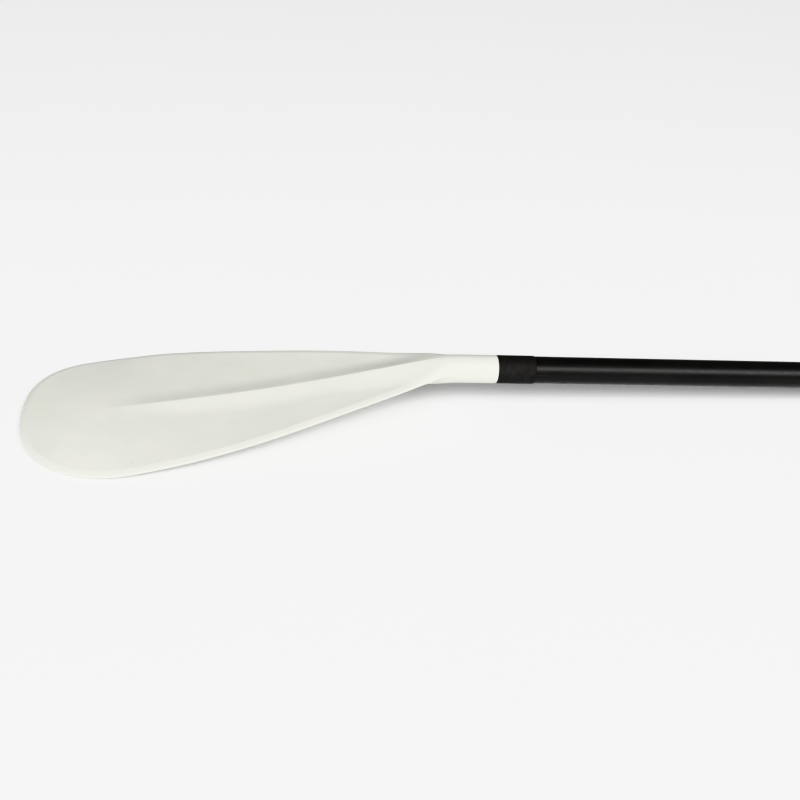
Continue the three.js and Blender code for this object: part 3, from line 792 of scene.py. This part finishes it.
class Recipe:
    """A procedural material: values that flow into a Principled shader, with lengths in metres."""

    def __init__(self, name, **numbers):
        self.material = bpy.data.materials.new(name)
        self.material.use_nodes = True
        self.nodes = self.material.node_tree.nodes
        self.links = self.material.node_tree.links
        self.shader = self.nodes["Principled BSDF"]
        turned_back = self.nodes.new("ShaderNodeMapping")  # from the row frame to the shaft's
        turned_back.inputs["Location"].default_value = TO_SHAFT.to_translation()
        turned_back.inputs["Rotation"].default_value = TO_SHAFT.to_euler()
        in_row_frame = self.nodes.new("ShaderNodeTexCoord").outputs["Object"]
        self.links.new(in_row_frame, turned_back.inputs["Vector"])
        self.place = turned_back.outputs["Vector"]
        for socket, value in numbers.items():
            self.shader.inputs[socket.replace("_", " ")].default_value = value

    def put(self, socket, value):
        """Links a value, or sets it where it is a plain number or colour."""
        if isinstance(value, bpy.types.NodeSocket):
            self.links.new(value, socket)
        elif isinstance(value, tuple) and len(value) == 3 and socket.type == "RGBA":
            socket.default_value = (*value, 1)
        else:
            socket.default_value = value

    def stretched(self, scale):
        """The place, scaled per axis."""
        node = self.nodes.new("ShaderNodeVectorMath")
        node.operation = "MULTIPLY"
        self.links.new(self.place, node.inputs[0])
        node.inputs[1].default_value = scale
        return node.outputs[0]

    def noise(self, size, detail=2.0, roughness=0.5, stretch=(1, 1, 1), distortion=0.0):
        """Cloudy variation from 0 to 1, its lumps about size across, times stretch along each axis."""
        node = self.nodes.new("ShaderNodeTexNoise")
        self.links.new(self.stretched(tuple(1 / k for k in stretch)), node.inputs["Vector"])
        node.inputs["Scale"].default_value = 1 / size
        node.inputs["Detail"].default_value = detail
        node.inputs["Roughness"].default_value = roughness
        node.inputs["Distortion"].default_value = distortion
        return node.outputs["Fac"]

    def cells(self, size):
        """Points scattered about size apart: the distance to the nearest, over size, and its colour."""
        node = self.nodes.new("ShaderNodeTexVoronoi")
        self.links.new(self.place, node.inputs["Vector"])
        node.inputs["Scale"].default_value = 1 / size
        return node.outputs["Distance"], node.outputs["Color"]

    def axis(self, name):
        node = self.nodes.new("ShaderNodeSeparateXYZ")
        self.links.new(self.place, node.inputs[0])
        return node.outputs[name]

    def maths(self, operation, *values):
        node = self.nodes.new("ShaderNodeMath")
        node.operation = operation
        for k, value in enumerate(values):
            self.put(node.inputs[k], value)
        return node.outputs[0]

    def ramp(self, value, start, end, low=0.0, high=1.0):
        """A smooth step from low to high as value goes from start to end."""
        node = self.nodes.new("ShaderNodeMapRange")
        node.interpolation_type = "SMOOTHSTEP"
        for socket, number in zip(node.inputs, (value, start, end, low, high)):
            self.put(socket, number)
        return node.outputs[0]

    def blend(self, share, a, b):
        """Colour a where share is 0, and b where it is 1."""
        node = self.nodes.new("ShaderNodeMix")
        node.data_type = "RGBA"
        self.put(node.inputs[0], share)
        self.put(node.inputs[6], a)
        self.put(node.inputs[7], b)
        return node.outputs[2]

    def finish(self, colour, roughness, heights=()):
        """The finished material. heights are (value, metres): layers of relief."""
        self.put(self.shader.inputs["Base Color"], colour)
        self.put(self.shader.inputs["Roughness"], roughness)
        normal = None
        for height, depth in heights:
            node = self.nodes.new("ShaderNodeBump")
            node.inputs["Strength"].default_value = 1.0
            node.inputs["Distance"].default_value = depth
            self.links.new(height, node.inputs["Height"])
            if normal is not None:
                self.links.new(normal, node.inputs["Normal"])
            normal = node.outputs["Normal"]
        if normal is not None:
            self.links.new(normal, self.shader.inputs["Normal"])
        return self.material


def white_nylon():
    """Glass-filled white nylon: satin, faintly mottled, with grey specks, scuffed at its tip."""
    m = Recipe(
        "white_nylon", IOR=1.5, Subsurface_Weight=0.12, Subsurface_Scale=0.003, Specular_IOR_Level=0.4
    )
    m.shader.inputs["Subsurface Radius"].default_value = (1.0, 0.9, 0.75)
    clouds = m.noise(0.055, 3, 0.55)
    flow = m.noise(0.009, 3, 0.6, stretch=(7, 1, 1))
    colour = m.blend(m.ramp(clouds, 0.3, 0.7), (0.575, 0.58, 0.53), (0.605, 0.605, 0.565))
    colour = m.blend(m.ramp(flow, 0.5, 0.85, 0, 0.35), colour, (0.545, 0.55, 0.507))
    distance, random = m.cells(0.021)
    speck = m.maths("MULTIPLY", m.ramp(distance, 0.05, 0.032), m.ramp(random, 0.6, 0.65))
    colour = m.blend(m.maths("MULTIPLY", speck, 0.4), colour, (0.26, 0.25, 0.22))
    fine, random = m.cells(0.0052)
    dot = m.maths("MULTIPLY", m.ramp(fine, 0.05, 0.02), m.ramp(random, 0.62, 0.66))
    colour = m.blend(m.maths("MULTIPLY", dot, 0.22), colour, (0.4, 0.39, 0.36))
    at_tip = m.ramp(m.axis("X"), -0.36, -0.48)
    streaks = m.noise(0.0011, 2, 0.6, stretch=(26, 1, 1), distortion=0.6)
    scuffed = m.ramp(m.noise(0.02, 3, 0.6), 0.5, 0.62)
    scuff = m.maths("MULTIPLY", m.ramp(streaks, 0.66, 0.74), m.maths("MULTIPLY", scuffed, at_tip))
    colour = m.blend(m.maths("MULTIPLY", scuff, 0.28), colour, (0.42, 0.42, 0.40))
    rough = m.ramp(m.noise(0.013, 4, 0.6), 0.25, 0.75, 0.42, 0.54)
    rough = m.maths("ADD", rough, m.maths("MULTIPLY", scuff, 0.18))
    grain = m.noise(0.0007, 2, 0.6)
    waves = m.noise(0.016, 2, 0.5)
    return m.finish(colour, rough, ((grain, 0.000012), (waves, 0.00009), (streaks, 0.000006)))


def matte_sleeve():
    """Heat-shrunk charcoal sleeve: matte, finely pebbled, greyer where it has been rubbed."""
    m = Recipe("matte_charcoal_sleeve", IOR=1.45, Specular_IOR_Level=0.25)
    rubbed = m.ramp(m.noise(0.012, 4, 0.65), 0.48, 0.75)
    colour = m.blend(rubbed, (0.013, 0.0126, 0.0122), (0.0215, 0.0207, 0.0199))
    dust, random = m.cells(0.0031)
    fleck = m.maths("MULTIPLY", m.ramp(dust, 0.1, 0.04), m.ramp(random, 0.68, 0.72))
    colour = m.blend(m.maths("MULTIPLY", fleck, 0.35), colour, (0.16, 0.15, 0.14))
    rough = m.ramp(m.noise(0.005, 3, 0.6), 0.3, 0.7, 0.62, 0.78)
    pebbles, _ = m.cells(0.0007)
    return m.finish(colour, rough, ((pebbles, 0.00003), (m.noise(0.006, 2), 0.00008)))


def black_tube(name, ticks=False):
    """Black coated aluminium tube: a satin gloss, with fine lengthwise scratches and a little dust."""
    m = Recipe(name, IOR=1.45, Specular_IOR_Level=0.29)
    tone = m.ramp(m.noise(0.03, 3, 0.6, stretch=(4, 1, 1)), 0.3, 0.7)
    colour = m.blend(tone, (0.006, 0.006, 0.0062), (0.0105, 0.0102, 0.0098))
    scratches = m.noise(0.0006, 2, 0.65, stretch=(60, 1, 1), distortion=0.2)
    worn = m.ramp(m.noise(0.035, 3, 0.6), 0.45, 0.7)
    scratch = m.maths("MULTIPLY", m.ramp(scratches, 0.64, 0.72), worn)
    colour = m.blend(m.maths("MULTIPLY", scratch, 0.3), colour, (0.085, 0.083, 0.08))
    dust, random = m.cells(0.0026)
    fleck = m.maths("MULTIPLY", m.ramp(dust, 0.09, 0.04), m.ramp(random, 0.74, 0.77))
    colour = m.blend(m.maths("MULTIPLY", fleck, 0.3), colour, (0.22, 0.21, 0.2))
    rough = m.ramp(m.noise(0.011, 4, 0.65), 0.3, 0.75, 0.34, 0.44)
    rough = m.maths("ADD", rough, m.maths("MULTIPLY", scratch, 0.2))
    if ticks:
        mark = scale_marks(m)
        shown = m.maths("MULTIPLY", mark, m.ramp(worn, 0, 1, 0.9, 0.65))
        colour = m.blend(shown, colour, (0.52, 0.52, 0.5))
        rough = m.maths("ADD", rough, m.maths("MULTIPLY", mark, 0.15))
    weave = m.noise(0.002, 2, 0.5, stretch=(3, 1, 1))
    return m.finish(colour, rough, ((weave, 0.000012), (scratches, 0.000004)))


def scale_marks(m):
    """Printed height marks beside the handle tube's groove: a tick every 10 mm, longer at 50 and 100."""
    x, y, z = m.axis("X"), m.axis("Y"), m.axis("Z")

    def lines(step, reach):
        beside = m.maths("ABSOLUTE", m.maths("WRAP", x, step / 2, -step / 2))
        line = m.maths("LESS_THAN", beside, 0.00035)
        wide = m.maths("MULTIPLY", m.maths("GREATER_THAN", y, 0.0028), m.maths("LESS_THAN", y, reach))
        return m.maths("MULTIPLY", line, wide)

    ticks = m.maths("MAXIMUM", lines(0.01, 0.0052), lines(0.05, 0.0068))
    ticks = m.maths("MAXIMUM", ticks, lines(0.1, 0.0084))
    on_top = m.maths("GREATER_THAN", z, 0)
    within = m.maths("MULTIPLY", m.maths("GREATER_THAN", x, 0.905), m.maths("LESS_THAN", x, 1.235))
    return m.maths("MULTIPLY", ticks, m.maths("MULTIPLY", on_top, within))


def black_moulding(name, tone=1.0):
    """Spark-textured black glass-filled nylon, its grain worn smoother and greyer in places."""
    m = Recipe(name, IOR=1.5, Specular_IOR_Level=0.5)
    worn = m.ramp(m.noise(0.009, 4, 0.6), 0.5, 0.72)
    new = (0.011 * tone, 0.011 * tone, 0.0115 * tone)
    rubbed = (0.024 * tone, 0.0235 * tone, 0.023 * tone)
    colour = m.blend(worn, new, rubbed)
    fibres = m.noise(0.00035, 2, 0.6, stretch=(5, 1, 1))
    colour = m.blend(m.ramp(fibres, 0.66, 0.74, 0, 0.2), colour, (0.09, 0.088, 0.085))
    edge = m.nodes.new("ShaderNodeNewGeometry").outputs["Pointiness"]
    colour = m.blend(m.ramp(edge, 0.53, 0.62, 0, 0.35), colour, (0.075, 0.073, 0.07))
    rough = m.ramp(worn, 0, 1, 0.5, 0.38)
    grain, _ = m.cells(0.00055)
    return m.finish(colour, rough, ((grain, 0.00004), (m.noise(0.004, 2), 0.00004)))


def stainless_steel():
    """Tumbled stainless steel, with a fine grain, handling marks and a trace of salt staining."""
    m = Recipe("stainless_steel", Metallic=1.0, IOR=2.5)
    stain = m.ramp(m.noise(0.0032, 4, 0.65), 0.55, 0.75)
    colour = m.blend(stain, (0.60, 0.59, 0.565), (0.40, 0.37, 0.32))
    grain = m.noise(0.00022, 2, 0.6, distortion=1.2)
    rough = m.ramp(m.noise(0.0016, 3, 0.6), 0.3, 0.7, 0.2, 0.36)
    rough = m.maths("ADD", rough, m.maths("MULTIPLY", stain, 0.15))
    return m.finish(colour, rough, ((grain, 0.000006), (m.noise(0.001, 3), 0.00001)))


def acetal():
    """Milled natural acetal: waxy, off-white, with feed marks."""
    m = Recipe("natural_acetal", IOR=1.48, Subsurface_Weight=0.2, Subsurface_Scale=0.002)
    colour = m.blend(m.noise(0.004, 3, 0.6), (0.66, 0.64, 0.57), (0.74, 0.73, 0.68))
    dirt = m.ramp(m.noise(0.0022, 4, 0.65), 0.58, 0.75, 0, 0.4)
    colour = m.blend(dirt, colour, (0.3, 0.28, 0.25))
    feed = m.noise(0.0003, 1, 0.5, stretch=(40, 1, 1))
    return m.finish(colour, m.ramp(feed, 0.3, 0.7, 0.36, 0.5), ((feed, 0.000012),))


def cell_foam():
    """Cut closed-cell foam: pale grey, every cell a small hollow, with painted shade darkening each
    hollow.
    """
    m = Recipe("closed_cell_foam", IOR=1.4, Specular_IOR_Level=0.25)
    distance, _ = m.cells(0.0009)
    # painted shade: each cell is coloured darker towards its middle, where its hollow lies, and lighter
    # at its rim
    colour = m.blend(m.ramp(distance, 0.15, 0.6), (0.33, 0.34, 0.36), (0.52, 0.53, 0.55))
    colour = m.blend(m.ramp(m.noise(0.012, 3), 0.4, 0.7, 0, 0.3), colour, (0.44, 0.43, 0.40))
    return m.finish(colour, m.ramp(distance, 0, 0.6, 0.95, 0.82), ((distance, 0.0002),))


# ---- The pieces --------------------------------------------------------------------------------------

tube_finish = black_tube("black_coated_tube")
handle_finish = black_tube("black_tube_with_height_marks", ticks=True)
moulding = black_moulding("textured_black_nylon")
grip_finish = black_moulding("textured_black_grip", tone=1.15)
steel = stainless_steel()

stands_for(make_blade(), white_nylon(), "blade_nylon", "shaft", "blade")
stands_for(make_sleeve(), matte_sleeve(), "matte_sleeve", "shaft", "neck_sleeve")
stands_for(make_lower_tube(), tube_finish, "black_tube", "shaft", "lower_shaft_tube")
stands_for(make_handle_tube(), handle_finish, "black_tube", "handle", "handle_tube")
stands_for(make_collar(), moulding, "black_moulding", "shaft", "clamp_collar")
stands_for(make_lever(), moulding, "black_moulding", "lever", "clamp_lever")
stands_for(make_pin(), steel, "stainless_steel", "shaft", "lever_pivot_pin")
stands_for(make_pad(), acetal(), "pale_acetal", "shaft", "cam_pad")
stands_for(make_screw(), steel, "stainless_steel", "shaft", "clamp_screw")
stands_for(make_washer(), steel, "stainless_steel", "shaft", "screw_washer")
stands_for(make_grip(), grip_finish, "black_moulding", "handle", "t_grip")
collar_rivet = make_rivet("collar_blind_rivet", collar_rivet_x, collar_high.y, 13.3, 1)
stands_for(collar_rivet, steel, "stainless_steel", "shaft", "collar_rivet")
grip_rivet = make_rivet("grip_blind_rivet", grip_rivet_x, handle_high.y, 4.5, -1)
stands_for(grip_rivet, steel, "stainless_steel", "handle", "grip_rivet")


def finish_cad_node(name, material):
    """A CAD node that stays as it is gets a better material."""
    mesh = frame["nodes"][name].data
    mesh.materials.clear()
    mesh.materials.append(material)


finish_cad_node("float_plug", cell_foam())
finish_cad_node("handle_end_plug", moulding)

# ---- Stage, light and camera -------------------------------------------------------------------------

FLOOR_HALF = 40.0
FLOOR_DROP = 0.0003


def make_floor():
    half = FLOOR_HALF
    corners = [(-half, -half), (half, -half), (half, half), (-half, half)]
    mesh = bpy.data.meshes.new("studio_floor")
    mesh.from_pydata([(x, y, -FLOOR_DROP) for x, y in corners], [], [(0, 1, 2, 3)])
    floor = bpy.data.objects.new("studio_floor", mesh)
    bpy.context.scene.collection.objects.link(floor)
    m = Recipe("pale_floor", Specular_IOR_Level=0.1)
    colour = m.blend(m.noise(0.4, 2), (0.865, 0.865, 0.87), (0.88, 0.88, 0.88))
    mesh.materials.append(m.finish(colour, 0.9))


def soft_light(name, place, target, size, power):
    data = bpy.data.lights.new(name, "AREA")
    data.shape = "RECTANGLE"
    data.size, data.size_y = size
    data.energy = power
    light = bpy.data.objects.new(name, data)
    light.location = place
    light.rotation_euler = (Vector(target) - Vector(place)).to_track_quat("-Z", "Y").to_euler()
    bpy.context.scene.collection.objects.link(light)


make_floor()
world = bpy.data.worlds.new("studio")
world.use_nodes = True
world.node_tree.nodes["Background"].inputs["Color"].default_value = (1, 1, 1, 1)
world.node_tree.nodes["Background"].inputs["Strength"].default_value = 0.22
bpy.context.scene.world = world
soft_light("key", (-2.3, -5.0, 5.2), (-0.2, 0, 0), (4.2, 3.2), 655)
soft_light("fill", (3.0, -4.6, 5.3), (-0.2, 0, 0), (4.2, 3.2), 380)
bpy.context.scene.view_settings.view_transform = "Khronos PBR Neutral"

ELEVATION = math.radians(37.75)
AZIMUTH = math.radians(10.9)
ROLL = math.radians(6.1)
DISTANCE = 1.2632
# How far to the left of the middle of the blade's bend, and below it, the camera's axis passes.
AIM_LEFT = 0.0452
AIM_BELOW = 0.0326
LENS = 54
SENSOR = 36


def make_camera():
    """The camera looks down on the blade's bend, a little from the tip's side."""
    forward = Vector((
        math.sin(AZIMUTH) * math.cos(ELEVATION),
        math.cos(AZIMUTH) * math.cos(ELEVATION),
        -math.sin(ELEVATION),
    ))
    level = Vector((math.cos(AZIMUTH), -math.sin(AZIMUTH), 0))
    rise = level.cross(forward)
    right = level * math.cos(ROLL) + rise * math.sin(ROLL)
    up = rise * math.cos(ROLL) - level * math.sin(ROLL)
    bend = SHAFT @ (Vector(on_blade(BEND_MIDDLE, 0, 0)) * MM)
    place = bend - right * AIM_LEFT - up * AIM_BELOW - forward * DISTANCE
    data = bpy.data.cameras.new("camera")
    data.lens = LENS
    data.sensor_width = SENSOR
    data.clip_end = 50
    camera = bpy.data.objects.new("camera", data)
    turn = Matrix((right, up, -forward)).transposed().to_4x4()
    camera.matrix_world = Matrix.Translation(place) @ turn
    bpy.context.scene.collection.objects.link(camera)
    bpy.context.scene.camera = camera


make_camera()

bpy.context.view_layer.update()
